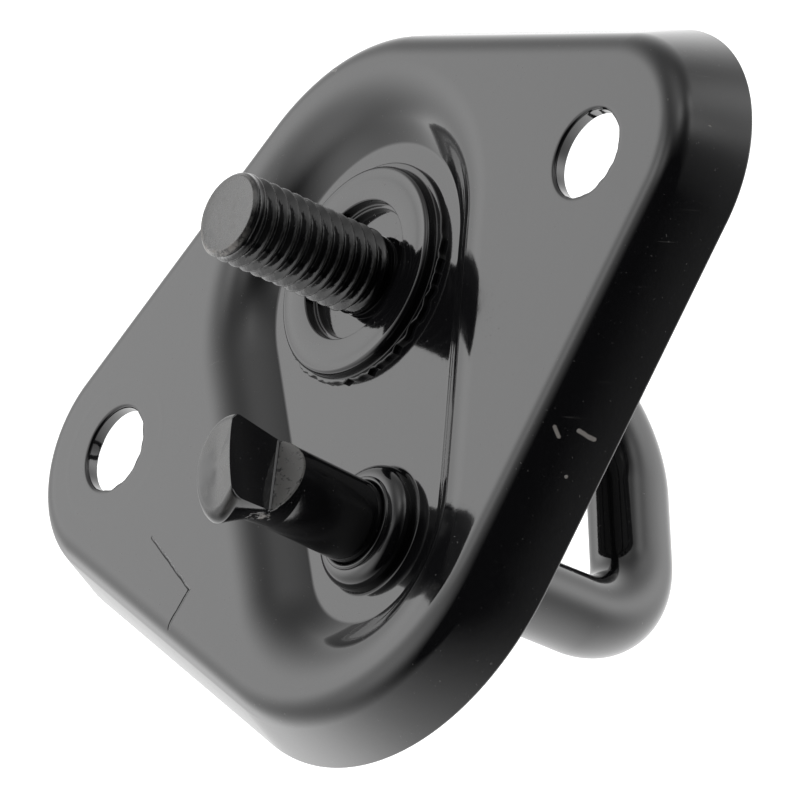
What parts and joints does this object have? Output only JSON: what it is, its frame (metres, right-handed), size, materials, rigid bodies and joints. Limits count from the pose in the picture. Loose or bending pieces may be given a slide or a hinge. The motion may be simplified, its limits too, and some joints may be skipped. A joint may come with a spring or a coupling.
{
  "type": "hood latch striker",
  "caption": "Black pressed plate with a bent rod loop behind it; its threaded stud and plain leg stand out in front.",
  "frame": {"origin": "midway between the two mounting holes, on the plate's front face", "axes": "+X along the line of the two mounting holes, +Z out of the front face along the stud and the plain leg, the rod loop hangs towards -Z"},
  "size_m": [0.089, 0.0695, 0.0509],
  "materials": {
    "plate_paint": "gloss black coat on pressed steel",
    "rod_paint": "gloss black coat on steel rod",
    "collar_paint": "gloss black coat on a turned steel collar"
  },
  "bodies": {
    "root": {"mounting_plate": "plate_paint", "striker_hoop": "rod_paint", "stud_collar": "collar_paint"}
  },
  "joints": []
}
